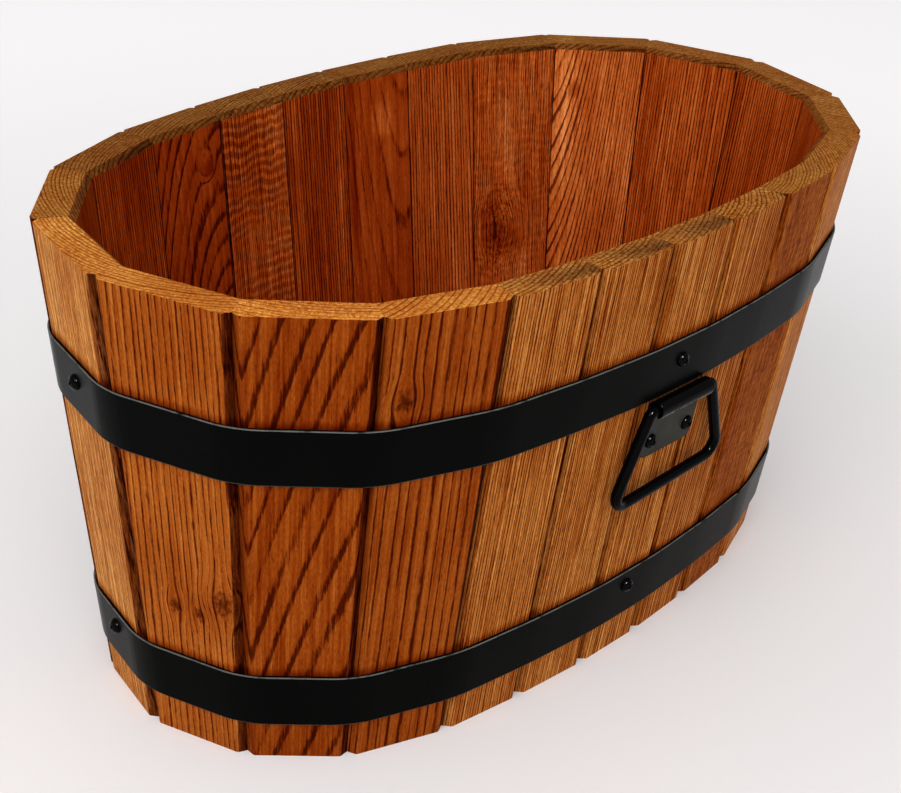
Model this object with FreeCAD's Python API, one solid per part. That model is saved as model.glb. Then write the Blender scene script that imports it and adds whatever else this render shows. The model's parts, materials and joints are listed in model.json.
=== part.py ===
import FreeCAD, Part
import os
from math import atan, cos, radians, sin, tan
from FreeCAD import Placement, Rotation, Vector

# Oval staved planter: flared oak staves, two steel hoops, a let-in floor and two drop handles.
# Millimetres and degrees. X runs along the oval, -Y is the front, Z is up.
# The origin is on the ground, under the middle of the oval.

# Wall of staves
height = 250.0
rim_length = 505.0
rim_width = 290.0
flare = 30.5                # how far the foot lies inside the rim, on each side
stave_thickness = 20.0      # square to the face
joint_gap = 0.3             # hairline between neighbouring staves, along the face
edge_chamfer = 4.0          # eased long edges on the outside
rim_bevel = 3.0             # bevel round the mouth, on the inner edge of the rim
# Joints of one quarter of the rim, from the end of the oval to the middle stave of the long side,
# as shares of half the rim's length and width
joint_length_shares = (1.0, 0.924, 0.739, 0.501, 0.291, 0.095)
joint_width_shares = (0.0, 0.470, 0.785, 0.931, 0.976, 1.0)

# Floor
floor_rise = 22.0           # underside of the floor above the ground
floor_thickness = 16.0
floor_board_count = 3
board_gap = 0.5             # between neighbouring boards
croze_depth = 6.0           # groove that holds the floor, at mid height of the floor
croze_clearance = 0.4       # room over the floor and round its edge
tongue_height = 5.0         # tongue along one edge of each board, in a groove of the next
tongue_reach = 5.0
tongue_clearance = 0.3
drain_diameter = 12.0
# Drain holes, as shares of half the floor's length and width
drain_place_shares = ((-0.4, -0.66), (0.4, -0.66), (0.0, 0.0), (-0.4, 0.66), (0.4, 0.66))

# Hoops
hoop_height = 30.0
hoop_thickness = 2.0
hoop_gap = 0.15             # between strip and wood
hoop_bend_run = 6.5         # straight stretch that each half of a bend takes up
upper_hoop_base = 164.0
lower_hoop_base = 22.0
lap_length = 34.0           # the strip's ends overlap on the middle stave of the back
lap_joggle = 3.0            # length of the step at the start of the lap

# Screws
screw_head_diameter = 8.0
screw_head_height = 2.8
screw_crown_diameter = 4.6  # flat top of the head
screw_shank_diameter = 4.0
screw_length = 17.0
screw_hole_clearance = 0.1
upper_screw_rise = 18.0     # above the lower edge of the hoop
lower_screw_rise = 20.5

# Handle: a sheet plate rolled round the top of a rod bail
handle_offset = 4.0         # from the middle of the long side, to the right when facing it
knuckle_drop = 4.3          # knuckle axis below the upper hoop, down the slope
plate_gap = 0.1             # between plate and wood
plate_width = 43.0
plate_thickness = 1.6
plate_drop = 32.0           # lower edge of the plate below the knuckle axis
plate_corner = 6.0
plate_screw_spacing = 30.0
plate_screw_drop = 22.0     # below the knuckle axis
rod_diameter = 6.0
rod_clearance = 0.1
rod_end_gap = 4.0           # between the rod's two ends, inside the knuckle
bail_drop = 51.0            # from the knuckle axis to the middle of the grip
bail_splay = 19.2           # how far each leg spreads on its way down
bail_shoulder_radius = 3.4
bail_foot_radius = 8.0
bail_end_play = 0.4         # between the knuckle's end and the shoulder's bend
bend_steps = 3              # flat-sided stretches that make up one bend of the rod
# How far the roll comes round under the rod, past the level of its axis
lip_wrap = 62.0
notch_wrap = 28.0
tongue_wrap = 88.0
# Outer ends of the tongue and of the notches beside it, of half the plate's width
tongue_end_share = 0.22
notch_end_share = 0.48

# One length that every cut runs past what it cuts
overrun = 1.0

# Values that follow from the sizes above
up = Vector(0, 0, 1)
lean = atan(flare / height)
wall_run = stave_thickness / cos(lean)
stave_count = 4 * len(joint_length_shares) - 2
front_stave = len(joint_length_shares) - 1
back_stave = front_stave + stave_count // 2
end_staves = (stave_count - 1, stave_count // 2 - 1)
floor_middle = floor_rise + floor_thickness / 2
screw_bore = screw_shank_diameter / 2 + screw_hole_clearance
hoop_stand = hoop_gap + hoop_thickness
plate_stand = plate_gap + plate_thickness
rod_radius = rod_diameter / 2
roll_bore = rod_radius + rod_clearance
roll_radius = roll_bore + plate_thickness
knuckle_stand = plate_gap + roll_radius
knuckle_level = upper_hoop_base - knuckle_drop * cos(lean)


# Plan of the oval

def rim_joints():
    """Outer ends of the joints at the rim, counter-clockwise from the left end of the oval."""
    quarter = list(zip(joint_length_shares, joint_width_shares))
    shares = [(-a, -b) for a, b in quarter]
    shares += [(a, -b) for a, b in reversed(quarter)]
    shares += [(a, b) for a, b in quarter[1:]]
    shares += [(-a, b) for a, b in reversed(quarter[1:])]
    return [Vector(a * rim_length / 2, b * rim_width / 2, 0) for a, b in shares]


joints = rim_joints()
staves = range(stave_count)
along = [(joints[i - stave_count + 1] - joints[i]).normalize() for i in staves]
outward = [Vector(run.y, -run.x, 0) for run in along]
turns = [outward[i - 1].getAngle(outward[i]) for i in staves]
# Where a joint moves when every face of the wall moves out by one
mitres = [(outward[i - 1] + outward[i]) / (1 + cos(turns[i])) for i in staves]


def wall_inset(level):
    """How far the outside of the wall lies inside the rim's outline at a level."""
    return flare * (1 - level / height)


def outline(inset, level):
    """Corners of the oval, moved in from the rim's outline and lifted to a level."""
    return [joints[i] - mitres[i] * inset + up * level for i in staves]


def on_wall(index, side, level, stand):
    """Placement off a stave's face: x across the stave, y up the slope, z out of the wood."""
    corners = outline(wall_inset(level), level)
    middle = (corners[index] + corners[index - stave_count + 1]) / 2
    slope = outward[index] * sin(lean) + up * cos(lean)
    normal = outward[index] * cos(lean) - up * sin(lean)
    place = middle + along[index] * side + normal * stand
    return Placement(place, Rotation(along[index], slope, normal, "XYZ"))


# Shapes that more than one piece uses

def flat_face(corners):
    return Part.Face(Part.makePolygon(corners + corners[:1]))


def slab(corners, thickness):
    """Upright solid on a level outline."""
    return flat_face(corners).extrude(up * thickness)


def prism_between(lower, upper):
    """Flat-sided solid between two outlines whose corners run counter-clockwise in the same order."""
    faces = [flat_face(lower[::-1]), flat_face(upper)]
    for i in range(len(lower)):
        faces.append(flat_face([lower[i - 1], lower[i], upper[i], upper[i - 1]]))
    return Part.Solid(Part.Shell(faces))


def bend(before, corner, after, radius):
    """Arc that rounds the corner between two straight runs."""
    back = (before - corner).normalize()
    ahead = (after - corner).normalize()
    half_angle = back.getAngle(ahead) / 2
    run = radius / tan(half_angle)
    crown = corner + (back + ahead).normalize() * (radius / sin(half_angle) - radius)
    return Part.Arc(corner + back * run, crown, corner + ahead * run)


def straight(start, end):
    return Part.LineSegment(start, end).toShape()


def bent_path(points, radii, closed):
    """Wire along straight runs whose corners are rounded by their own radii."""
    count = len(points)
    corners = range(count) if closed else range(1, count - 1)
    arcs = [bend(points[i - 1], points[i], points[i - count + 1], radii[i]) for i in corners]
    last = arcs[-1].EndPoint if closed else points[0]
    edges = []
    for arc in arcs:
        edges += [straight(last, arc.StartPoint), arc.toShape()]
        last = arc.EndPoint
    if not closed:
        edges.append(straight(last, points[-1]))
    return Part.Wire(edges)


def placed(shape, placement):
    copy = shape.copy()
    copy.Placement = placement
    return copy


# Screws

def pan_screw():
    """Pan-head wood screw, seated on its origin with the shank pointing down."""
    shank = screw_shank_diameter / 2
    corners = [
        Vector(0, 0, screw_head_height),
        Vector(0, 0, -screw_length),
        Vector(shank, 0, -screw_length),
        Vector(shank, 0, 0),
        Vector(screw_head_diameter / 2, 0, 0),
        Vector(screw_crown_diameter / 2, 0, screw_head_height),
    ]
    return flat_face(corners).revolve(Vector(), up, 360)


def screw_hole(seat):
    """Cutter for the hole that a seated screw needs in the wood and steel below its head."""
    depth = screw_length + screw_hole_clearance
    drill = Part.makeCylinder(screw_bore, depth + screw_head_height, Vector(0, 0, -depth))
    return placed(drill, seat)


def hoop_seats(base, rise):
    """Seats of a hoop's screws: the middle of both long sides, and one stave at each end."""
    single = (front_stave,) + end_staves
    seats = [on_wall(index, 0, base + rise, hoop_stand) for index in single]
    seats.append(on_wall(back_stave, 0, base + rise, hoop_stand + hoop_thickness))
    return seats


def plate_seats(index):
    """Seats of the two screws on a handle's plate."""
    level = knuckle_level - plate_screw_drop * cos(lean)
    half = plate_screw_spacing / 2
    return [on_wall(index, handle_offset + side, level, plate_stand) for side in (-half, half)]


seats = {
    "upper_hoop_screws": hoop_seats(upper_hoop_base, upper_screw_rise),
    "lower_hoop_screws": hoop_seats(lower_hoop_base, lower_screw_rise),
    "handle_screws": plate_seats(front_stave) + plate_seats(back_stave),
}
holes = {name: [screw_hole(seat) for seat in group] for name, group in seats.items()}


# Staves

croze_inset = wall_inset(floor_middle) + wall_run - croze_depth
croze = slab(outline(croze_inset, floor_rise), floor_thickness + croze_clearance)


def stave(index):
    """Flared, mitred board with eased outer edges, a bevelled mouth and the floor's groove."""
    after = index - stave_count + 1
    gap = along[index] * (joint_gap / 2)
    sections = []
    for level in (0, height):
        outer = outline(wall_inset(level), level)
        inner = outline(wall_inset(level) + wall_run, level)
        sections.append([outer[index] + gap, outer[after] - gap, inner[after] - gap, inner[index] + gap])
    board = prism_between(*sections)

    def reach(edge):
        return edge.CenterOfMass.dot(outward[index])

    long_edges = [edge for edge in board.Edges if edge.BoundBox.ZLength > height / 2]
    board = board.makeChamfer(edge_chamfer, sorted(long_edges, key=reach)[2:])
    rim_edges = [edge for edge in board.Edges if edge.BoundBox.ZMin > height / 2]
    board = board.makeChamfer(rim_bevel, [min(rim_edges, key=reach)])
    cutters = [hole for group in holes.values() for hole in group]
    return board.cut([croze] + cutters)


# Floor

def floor_boards():
    """Tongued and grooved boards along the oval, with drain holes."""
    whole = slab(outline(croze_inset + croze_clearance, floor_rise), floor_thickness)
    box = whole.BoundBox
    pitch = box.YLength / floor_board_count

    def strip(start, end, base, top):
        """The floor's own outline between two lines across it and two levels."""
        corner = Vector(box.XMin - overrun, start, base)
        return whole.common(Part.makeBox(box.XLength + 2 * overrun, end - start, top - base, corner))

    drains = []
    for length_share, width_share in drain_place_shares:
        start = Vector(length_share * box.XMax, width_share * box.YMax, floor_rise - overrun)
        drains.append(Part.makeCylinder(drain_diameter / 2, floor_thickness + 2 * overrun, start))
    tongue_base = floor_middle - tongue_height / 2
    tongue_top = floor_middle + tongue_height / 2
    boards = []
    for i in range(floor_board_count):
        start = box.YMin + pitch * i + board_gap / 2
        end = start + pitch - board_gap
        board = strip(start, end, floor_rise, floor_rise + floor_thickness)
        if i > 0:
            reach = start + tongue_reach + tongue_clearance
            groove_base = tongue_base - tongue_clearance
            groove_top = tongue_top + tongue_clearance
            board = board.cut(strip(start - overrun, reach, groove_base, groove_top))
        if i < floor_board_count - 1:
            tongue = strip(end - overrun, end + board_gap + tongue_reach, tongue_base, tongue_top)
            board = board.fuse(tongue).removeSplitter()
        boards.append(board.cut(drains))
    return boards


# Hoops

def wrapped(stand, base, top):
    """Everything inside a skin that stands off the wall and bends at the joints, between two levels."""
    run = stand / cos(lean)
    radii = [hoop_bend_run / tan(turn / 2) + run for turn in turns]
    wires = [bent_path(outline(wall_inset(level) - run, level), radii, True) for level in (base, top)]
    return Part.makeLoft(wires, True, True)


def hoop(base, cutters):
    """Steel strip bent round the staves, its ends lapped on the middle stave of the back."""
    top = base + hoop_height
    band = wrapped(hoop_stand, base, top).cut(wrapped(hoop_gap, base - overrun, top + overrun))
    half = lap_length / 2
    lap = [
        (-half - lap_joggle, hoop_stand),
        (-half, hoop_stand + hoop_thickness),
        (half, hoop_stand + hoop_thickness),
        (half, hoop_stand - hoop_thickness / 2),
        (-half - lap_joggle, hoop_stand - hoop_thickness / 2),
    ]
    sections = []
    for level in (base, top):
        face = on_wall(back_stave, 0, level, 0).Base
        run = outward[back_stave] / cos(lean)
        sections.append([face + along[back_stave] * side + run * stand for side, stand in lap])
    return band.fuse(prism_between(*sections)).removeSplitter().cut(cutters)


# Handles

def rolled_sheet(start, end, wrap):
    """One width of the plate: flat up the wall from its lower edge, then rolled over the rod."""
    def on_roll(radius, angle):
        return Vector(start, radius * sin(radians(angle)), knuckle_stand + radius * cos(radians(angle)))

    crown = (180 - wrap) / 2
    back_top = Vector(start, 0, plate_gap)
    back_foot = Vector(start, -plate_drop, plate_gap)
    front_foot = Vector(start, -plate_drop, plate_stand)
    front_top = Vector(start, 0, plate_stand)
    edges = [
        straight(back_top, back_foot),
        straight(back_foot, front_foot),
        straight(front_foot, front_top),
        Part.Arc(front_top, on_roll(roll_bore, crown), on_roll(roll_bore, -wrap)).toShape(),
        straight(on_roll(roll_bore, -wrap), on_roll(roll_radius, -wrap)),
        Part.Arc(on_roll(roll_radius, -wrap), on_roll(roll_radius, crown), back_top).toShape(),
    ]
    return Part.Face(Part.Wire(edges)).extrude(Vector(end - start, 0, 0))


def handle_plate(index, cutters):
    """Sheet plate with rounded feet, its top rolled into a knuckle with a stepped lip."""
    half = plate_width / 2
    tongue = half * tongue_end_share
    notch = half * notch_end_share
    stops = [-half, -notch, -tongue, tongue, notch, half]
    wraps = [lip_wrap, notch_wrap, tongue_wrap, notch_wrap, lip_wrap]
    strips = [rolled_sheet(*strip) for strip in zip(stops, stops[1:], wraps)]
    sheet = strips[0].fuse(strips[1:]).removeSplitter()
    feet = []
    for edge in sheet.Edges:
        low = edge.BoundBox.YMax < plate_corner - plate_drop
        if low and edge.BoundBox.XLength < plate_corner:
            feet.append(edge)
    sheet = sheet.makeFillet(plate_corner, feet)
    return placed(sheet, on_wall(index, handle_offset, knuckle_level, 0)).cut(cutters)


def rod_sections(path):
    """Circles round the rod at the ends of its straight runs and at steps round its bends."""
    sections = []
    for edge in path.OrderedEdges:
        steps = bend_steps if isinstance(edge.Curve, Part.Circle) else 1
        first, last = edge.ParameterRange
        for step in range(steps):
            place = first + (last - first) * step / steps
            sections.append((edge.valueAt(place), edge.tangentAt(place)))
    sections.append((edge.valueAt(last), edge.tangentAt(last)))
    return [Part.Wire(Part.makeCircle(rod_radius, middle, run)) for middle, run in sections]


def bail(index):
    """Rod bent into a tapered loop, its ends meeting inside the knuckle, lying along the wall."""
    shoulder = plate_width / 2 + bail_end_play + bail_shoulder_radius
    foot = shoulder + bail_splay
    start = Vector(rod_end_gap / 2, 0, 0)
    points = [
        start,
        Vector(shoulder, 0, 0),
        Vector(foot, -bail_drop, 0),
        Vector(-foot, -bail_drop, 0),
        Vector(-shoulder, 0, 0),
        -start,
    ]
    radii = [0, bail_shoulder_radius, bail_foot_radius, bail_foot_radius, bail_shoulder_radius, 0]
    rod = Part.makeLoft(rod_sections(bent_path(points, radii, False)), True, True)
    return placed(rod, on_wall(index, handle_offset, knuckle_level, knuckle_stand))


# Nodes

nodes = {}
for index in staves:
    nodes["stave_%02d" % (index + 1)] = stave(index)
for number, board in enumerate(floor_boards(), 1):
    nodes["floor_board_%d" % number] = board
nodes["upper_hoop"] = hoop(upper_hoop_base, holes["upper_hoop_screws"])
nodes["lower_hoop"] = hoop(lower_hoop_base, holes["lower_hoop_screws"])
for side, index in (("front", front_stave), ("back", back_stave)):
    nodes[side + "_handle_plate"] = handle_plate(index, holes["handle_screws"])
    nodes[side + "_bail"] = bail(index)
for name, group in seats.items():
    nodes[name] = Part.Compound([placed(pan_screw(), seat) for seat in group])

os.makedirs("parts", exist_ok=True)
for name, shape in nodes.items():
    shape.exportStep("parts/%s.step" % name)
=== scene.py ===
import json
from collections import namedtuple
from math import atan2, cos, hypot, pi, radians, sin, tan

import bmesh
import bpy
import numpy
from mathutils import Matrix, Vector


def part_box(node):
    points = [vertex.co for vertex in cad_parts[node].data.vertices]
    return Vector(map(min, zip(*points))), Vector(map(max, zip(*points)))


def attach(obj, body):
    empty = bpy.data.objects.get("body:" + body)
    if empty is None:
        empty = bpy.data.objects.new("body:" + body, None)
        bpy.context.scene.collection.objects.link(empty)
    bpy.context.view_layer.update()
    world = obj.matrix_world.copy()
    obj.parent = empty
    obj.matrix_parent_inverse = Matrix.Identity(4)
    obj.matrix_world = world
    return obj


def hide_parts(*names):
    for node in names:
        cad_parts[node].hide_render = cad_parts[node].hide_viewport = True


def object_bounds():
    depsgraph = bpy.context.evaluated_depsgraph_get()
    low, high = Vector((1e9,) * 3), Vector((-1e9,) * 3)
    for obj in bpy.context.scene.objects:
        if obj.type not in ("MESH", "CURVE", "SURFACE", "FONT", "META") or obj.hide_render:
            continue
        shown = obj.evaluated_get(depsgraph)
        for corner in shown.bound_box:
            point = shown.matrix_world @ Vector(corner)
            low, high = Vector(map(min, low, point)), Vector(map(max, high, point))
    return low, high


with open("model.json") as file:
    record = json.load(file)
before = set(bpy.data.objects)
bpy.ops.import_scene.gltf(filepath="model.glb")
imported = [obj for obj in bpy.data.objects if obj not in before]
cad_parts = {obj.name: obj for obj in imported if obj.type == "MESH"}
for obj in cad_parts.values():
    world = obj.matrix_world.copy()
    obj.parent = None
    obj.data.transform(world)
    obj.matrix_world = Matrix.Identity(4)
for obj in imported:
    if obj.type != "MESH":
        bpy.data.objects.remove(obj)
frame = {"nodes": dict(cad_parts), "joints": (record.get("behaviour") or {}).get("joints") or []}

# Oval planter of mitred oak staves in two black steel hoops, with a drop handle on each long side.
# Metres, in the part's own frame: X along the oval, -Y the front, Z up.

bl_info = {
    "name": "Staved oval planter",
    "version": (1, 0, 0),
    "blender": (4, 5, 0),
    "location": "View3D > Sidebar > Planter",
    "description": "Oak staves, steel hoops and drop handles of an oval planter",
    "category": "Add Mesh",
}

CAD_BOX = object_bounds()
UP = Vector((0, 0, 1))
MM = 0.001
STAVE_COUNT = 22
STAVES = ["stave_%02d" % (number + 1) for number in range(STAVE_COUNT)]
FLOOR_BOARDS = ["floor_board_%d" % (number + 1) for number in range(3)]
HOOPS = ["upper_hoop", "lower_hoop"]
HANDLE_STAVES = {"front": "stave_06", "back": "stave_17"}
SCREW_GROUPS = ["upper_hoop_screws", "lower_hoop_screws", "handle_screws"]

# How each board was sawn and stained, seen from its outside:
# ring     distance between growth rings, in mm
# angle    angle between the rings and the face, in degrees: 0 is flat-sawn, 90 quarter-sawn
# pith     distance from the middle of the face to the heart of the tree, in mm
# drift    how far the heart moves out of the board along its length, per unit of length
# wander   waviness of the rings
# band     share of a ring that is dark early wood
# depth    how dark that band is
# pores    how thickly open pores lie between the bands
# streak   contrast of the fine fibres along the grain
# tint     brightness of the board
# red      how red its stain is
# rim      brightness of its end grain on the rim
# fleck    strength of the ray flecks across the grain
# rim_ring and rim_angle are the ring and the angle that its end grain shows on the rim
Board = namedtuple("Board", "ring angle pith drift wander band depth pores streak tint red rim fleck "
                            "rim_ring rim_angle")
BOARDS = [
    Board(2.3, 43, 200, 0, 0.18, 0.32, 0.9, -0.03, 1.5, 0.75, 0, 1.06, 0, 2.6, 12),
    Board(2.75, -15, 400, -0.078, 0.06, 0.3, 1.05, -0.03, 2, 0.52, 0, 1.14, 0, 2.8, -8),
    Board(3.6, 42, 160, 0, 0.12, 0.26, 1.05, -0.03, 1.6, 0.62, 0, 1.06, 0, 3.2, 38),
    Board(1.3, 50, 140, 0, 0.2, 0.4, 1.2, -0.02, 2.6, 0.98, 0, 0.74, 0, 2.4, 22),
    Board(1.2, 55, 140, 0, 0.2, 0.38, 1.3, -0.02, 2.8, 1, 0, 0.68, 0, 2.2, 16),
    Board(1.4, 46, 160, 0, 0.25, 0.38, 1.2, -0.02, 2.6, 1.02, 0, 0.66, 0, 2.3, 20),
    Board(1.6, 44, 140, 0, 0.45, 0.36, 1.3, -0.02, 2.6, 0.93, 0, 0.66, 0, 2.2, 26),
    Board(1.5, 72, 140, 0, 0.6, 0.5, 0.6, 0.05, 1.7, 0.74, 0, 0.66, 0.2, 1.8, 20),
    Board(1.4, 50, 120, 0, 0.3, 0.45, 0.6, 0, 1.8, 1.08, 0, 0.68, 0, 1.7, 30),
    Board(1.6, 40, 110, 0, 0.25, 0.38, 1.05, -0.02, 1.8, 0.8, 0, 0.6, 0, 2.6, 62),
    Board(1.5, -42, 110, 0, 0.25, 0.38, 1.35, -0.02, 2, 0.84, 0, 0.6, 0, 2.2, 30),
    Board(1.45, 45, 110, 0, 0.25, 0.38, 1.2, -0.02, 1.9, 0.96, 0, 0.6, 0, 2, 16),
    Board(1.2, -20.7, 96, 0.085, 0.22, 0.36, 1.25, -0.04, 1.3, 1.23, 0, 0.54, 0, 2, 12),
    Board(1.5, 65, 120, 0, 1.1, 0.5, 0.65, 0.02, 1.9, 1.02, 0, 0.48, 0.2, 2, 14),
    Board(1.6, 38, 120, 0.01, 0.25, 0.38, 1.25, -0.02, 1.9, 0.96, 0.05, 0.46, 0, 2, 18),
    Board(3.4, 14, 80, 0.08, 0.3, 0.26, 0.6, -0.05, 1.6, 0.7, 0.15, 0.44, 0, 2.1, 12),
    Board(1.6, -50, 120, 0, 0.2, 0.38, 1.35, -0.01, 2.4, 0.69, 0.15, 0.44, 0, 1.9, 16),
    Board(1.5, 84, 160, 0, 0.25, 0.45, 0.85, 0.02, 2.3, 0.86, 0.1, 0.42, 0.85, 2, 14),
    Board(4.4, 80, 29.4, -0.3, 0.18, 0.34, 1.2, -0.04, 1.4, 0.58, 0.15, 0.42, 0, 2.1, 16),
    Board(1.7, 55, 120, 0, 0.25, 0.38, 1.3, -0.01, 2, 0.65, 0.15, 0.46, 0, 1.8, 12),
    Board(1.7, 50, 120, 0, 0.25, 0.38, 1.05, -0.01, 1.8, 0.62, 0.1, 0.66, 0, 1.8, 14),
    Board(1.2, 62, 130, 0, 0.25, 0.42, 0.7, -0.01, 1.9, 1.23, 0, 1.06, 0, 2, 9),
]
FLOOR_OAK = [
    Board(2.2, 30, 90, 0.012, 0.25, 0.3, 0.8, -0.02, 1.2, 0.8, 0.1, 0.8, 0, 2.4, 20),
    Board(2.4, 20, 70, 0.03, 0.25, 0.3, 0.8, -0.02, 1.2, 0.87, 0.1, 0.8, 0, 2.4, 20),
    Board(1.9, -48, 110, 0, 0.3, 0.34, 0.9, -0.02, 1.5, 0.83, 0.1, 0.8, 0, 2.4, 20),
]

# Distance from a board to the heart of the tree on the rim, in mm
RIM_PITH = 120

# The back staves, with tighter joints, stand further back than this
BACK_STAVES_FROM = 60 * MM

# How much of the dark stain and painted shade stays in the groove on a stave's left edge, which faces the
# light
LEFT_GROOVE_SHARE = 0.25

# Stain and painted shade in the groove on a stave's right edge, which faces away from the light, at the level
# of its face, and the depth over which it darkens further
RIGHT_GROOVE_STAIN_AND_SHADE = 0.6
GROOVE_DEPTH = 3 * MM

# Where the noise in the boards' grain starts, and how far it moves on with each board
STAVE_SEED, STAVE_SEED_STEP = 1.0, 3.7
FLOOR_SEED, FLOOR_SEED_STEP = 90.0, 5.0

# Gloss of the oak, and depth of the relief on oak and on paint
OAK_GLOSS = 0.006
OAK_RELIEF = 0.20 * MM
PAINT_RELIEF = 0.04 * MM

# Knots: place across and along the board, and size, in mm
KNOTS = {
    "stave_01": ((21, 92, 7), (8, 82, 4), (-6, 82, 4)),
    "stave_03": ((-20, 208, 5), (-24, 196, 4)),
    "stave_13": ((17, 222, 2),),
    "stave_14": ((9, 138, 9),),
    "stave_19": ((-12, 226, 4),),
}

# Lighter and darker patches: place across and along the board, half width and half height in mm, and gain
BLOTCHES = {
    "stave_01": ((4, 232, 40, 44, -0.18), (10, 84, 18, 20, -0.15)),
    "stave_02": ((0, 236, 40, 62, -0.12),),
    "stave_03": ((-4, 232, 40, 50, -0.10), (-14, 205, 14, 22, -0.20)),
    "stave_11": ((-16, 150, 14, 60, -0.25),),
    "stave_12": ((10, 180, 14, 60, 0.15), (-14, 120, 16, 40, -0.25)),
    "stave_13": ((20, 200, 13, 80, 0.30), (14, 222, 6, 8, -0.4), (-14, 130, 18, 50, -0.15)),
    "stave_14": ((2, 200, 18, 40, 0.20), (14, 140, 10, 34, -0.35), (4, 130, 18, 12, -0.35)),
    "stave_15": ((-10, 215, 14, 24, 0.18),),
    # Painted shadow: the narrow dark strip along the right edge of stave_16, by its joint with stave_17,
    # stands for the shadow of a step in that joint
    "stave_16": ((-4, 222, 10, 16, 0.55), (20, 190, 5, 90, -0.40)),
    "stave_17": ((-17, 190, 6, 110, 0.30), (4, 150, 12, 40, -0.20)),
    "stave_19": ((-14, 224, 9, 9, -0.45), (12, 215, 10, 30, 0.12), (-8, 130, 16, 30, -0.25)),
    "stave_22": ((0, 60, 30, 70, 0.10),),
}


class OakSettings(bpy.types.PropertyGroup):
    """Edges and colours of the oak boards."""
    edge_round: bpy.props.FloatProperty(
        name="Edge rounding", description="Rounding along the eased edges of a stave",
        default=1.1 * MM, min=0.1 * MM, max=2 * MM, unit="LENGTH")
    end_round: bpy.props.FloatProperty(
        name="End rounding", description="Rounding along a board's sawn ends and inner edges",
        default=0.5 * MM, min=0.1 * MM, max=1.5 * MM, unit="LENGTH")
    inner_joint: bpy.props.FloatProperty(
        name="Inner joint", description="Corner taken off a stave along each joint inside",
        default=0.45 * MM, min=0.1 * MM, max=1.5 * MM, unit="LENGTH")
    gaping_joint: bpy.props.FloatProperty(
        name="Gaping joint", description="Corner taken off along the one joint that gapes inside",
        default=1.1 * MM, min=0.1 * MM, max=1.5 * MM, unit="LENGTH")
    joint_shift: bpy.props.FloatProperty(
        name="Joint shift", description="How far each side of a stave moves out to close its joint",
        default=0.144 * MM, min=0.0, max=0.144 * MM, unit="LENGTH")
    back_shift: bpy.props.FloatProperty(
        name="Tight back joints", description="How much narrower the chamfers are on the back staves",
        default=2.0 * MM, min=0, max=3 * MM, unit="LENGTH")
    face_colour: bpy.props.FloatVectorProperty(
        name="Outside", description="Stained oak on the outside", subtype="COLOR", min=0, max=1,
        default=(0.52, 0.166, 0.028))
    inside_colour: bpy.props.FloatVectorProperty(
        name="Inside", description="Deeper stain on the inside", subtype="COLOR", min=0, max=1,
        default=(0.54, 0.104, 0.014))
    rim_colour: bpy.props.FloatVectorProperty(
        name="Rim", description="Sanded end grain of the rim", subtype="COLOR", min=0, max=1,
        default=(0.58, 0.205, 0.032))


class SteelSettings(bpy.types.PropertyGroup):
    """Edges, bends and colours of the black steel."""
    hoop_round: bpy.props.FloatProperty(
        name="Hoop edge", description="Rounding along the edges of the hoops",
        default=0.8 * MM, min=0.05 * MM, max=0.9 * MM, unit="LENGTH")
    hoop_bend: bpy.props.FloatProperty(
        name="Hoop bend", description="How far each bend of a hoop runs to either side of its corner",
        default=13 * MM, min=7 * MM, max=20 * MM, unit="LENGTH")
    plate_round: bpy.props.FloatProperty(
        name="Plate edge", description="Rounding along the edges of the handle plates",
        default=0.35 * MM, min=0.05 * MM, max=0.7 * MM, unit="LENGTH")
    shoulder_bend: bpy.props.FloatProperty(
        name="Shoulder bend", description="Bend of the bail beside the knuckle",
        default=3.4 * MM, min=3.1 * MM, max=8 * MM, unit="LENGTH")
    foot_bend: bpy.props.FloatProperty(
        name="Foot bend", description="Bend of the bail at the ends of its grip",
        default=8 * MM, min=4 * MM, max=14 * MM, unit="LENGTH")
    bail_splay: bpy.props.FloatProperty(
        name="Splay", description="How far each leg of the bail spreads on its way down",
        default=19.2 * MM, min=0, max=24 * MM, unit="LENGTH")
    bail_drop: bpy.props.FloatProperty(
        name="Drop", description="From the knuckle down to the middle of the grip",
        default=51 * MM, min=30 * MM, max=80 * MM, unit="LENGTH")
    bail_askew: bpy.props.FloatProperty(
        name="Askew", description="How far the bail's loop hangs out of square under its knuckle",
        default=radians(3), min=0, max=radians(5), subtype="ANGLE")
    rod: bpy.props.FloatProperty(
        name="Rod", description="Diameter of the bail's rod", default=6 * MM, min=4 * MM, max=8 * MM,
        unit="LENGTH")
    bail_shoulder: bpy.props.FloatProperty(
        name="Shoulder reach", description="Corner of the bail's shoulder from its middle",
        default=25.3 * MM, min=20 * MM, max=40 * MM, unit="LENGTH")
    hoop_colour: bpy.props.FloatVectorProperty(
        name="Hoop paint", description="Semi-matt black of the hoops", subtype="COLOR", min=0, max=1,
        default=(0.0009, 0.0013, 0.0010))
    handle_colour: bpy.props.FloatVectorProperty(
        name="Handle paint", description="Gloss black of the handles and screws", subtype="COLOR",
        min=0, max=1, default=(0.0007, 0.0008, 0.0008))


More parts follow.
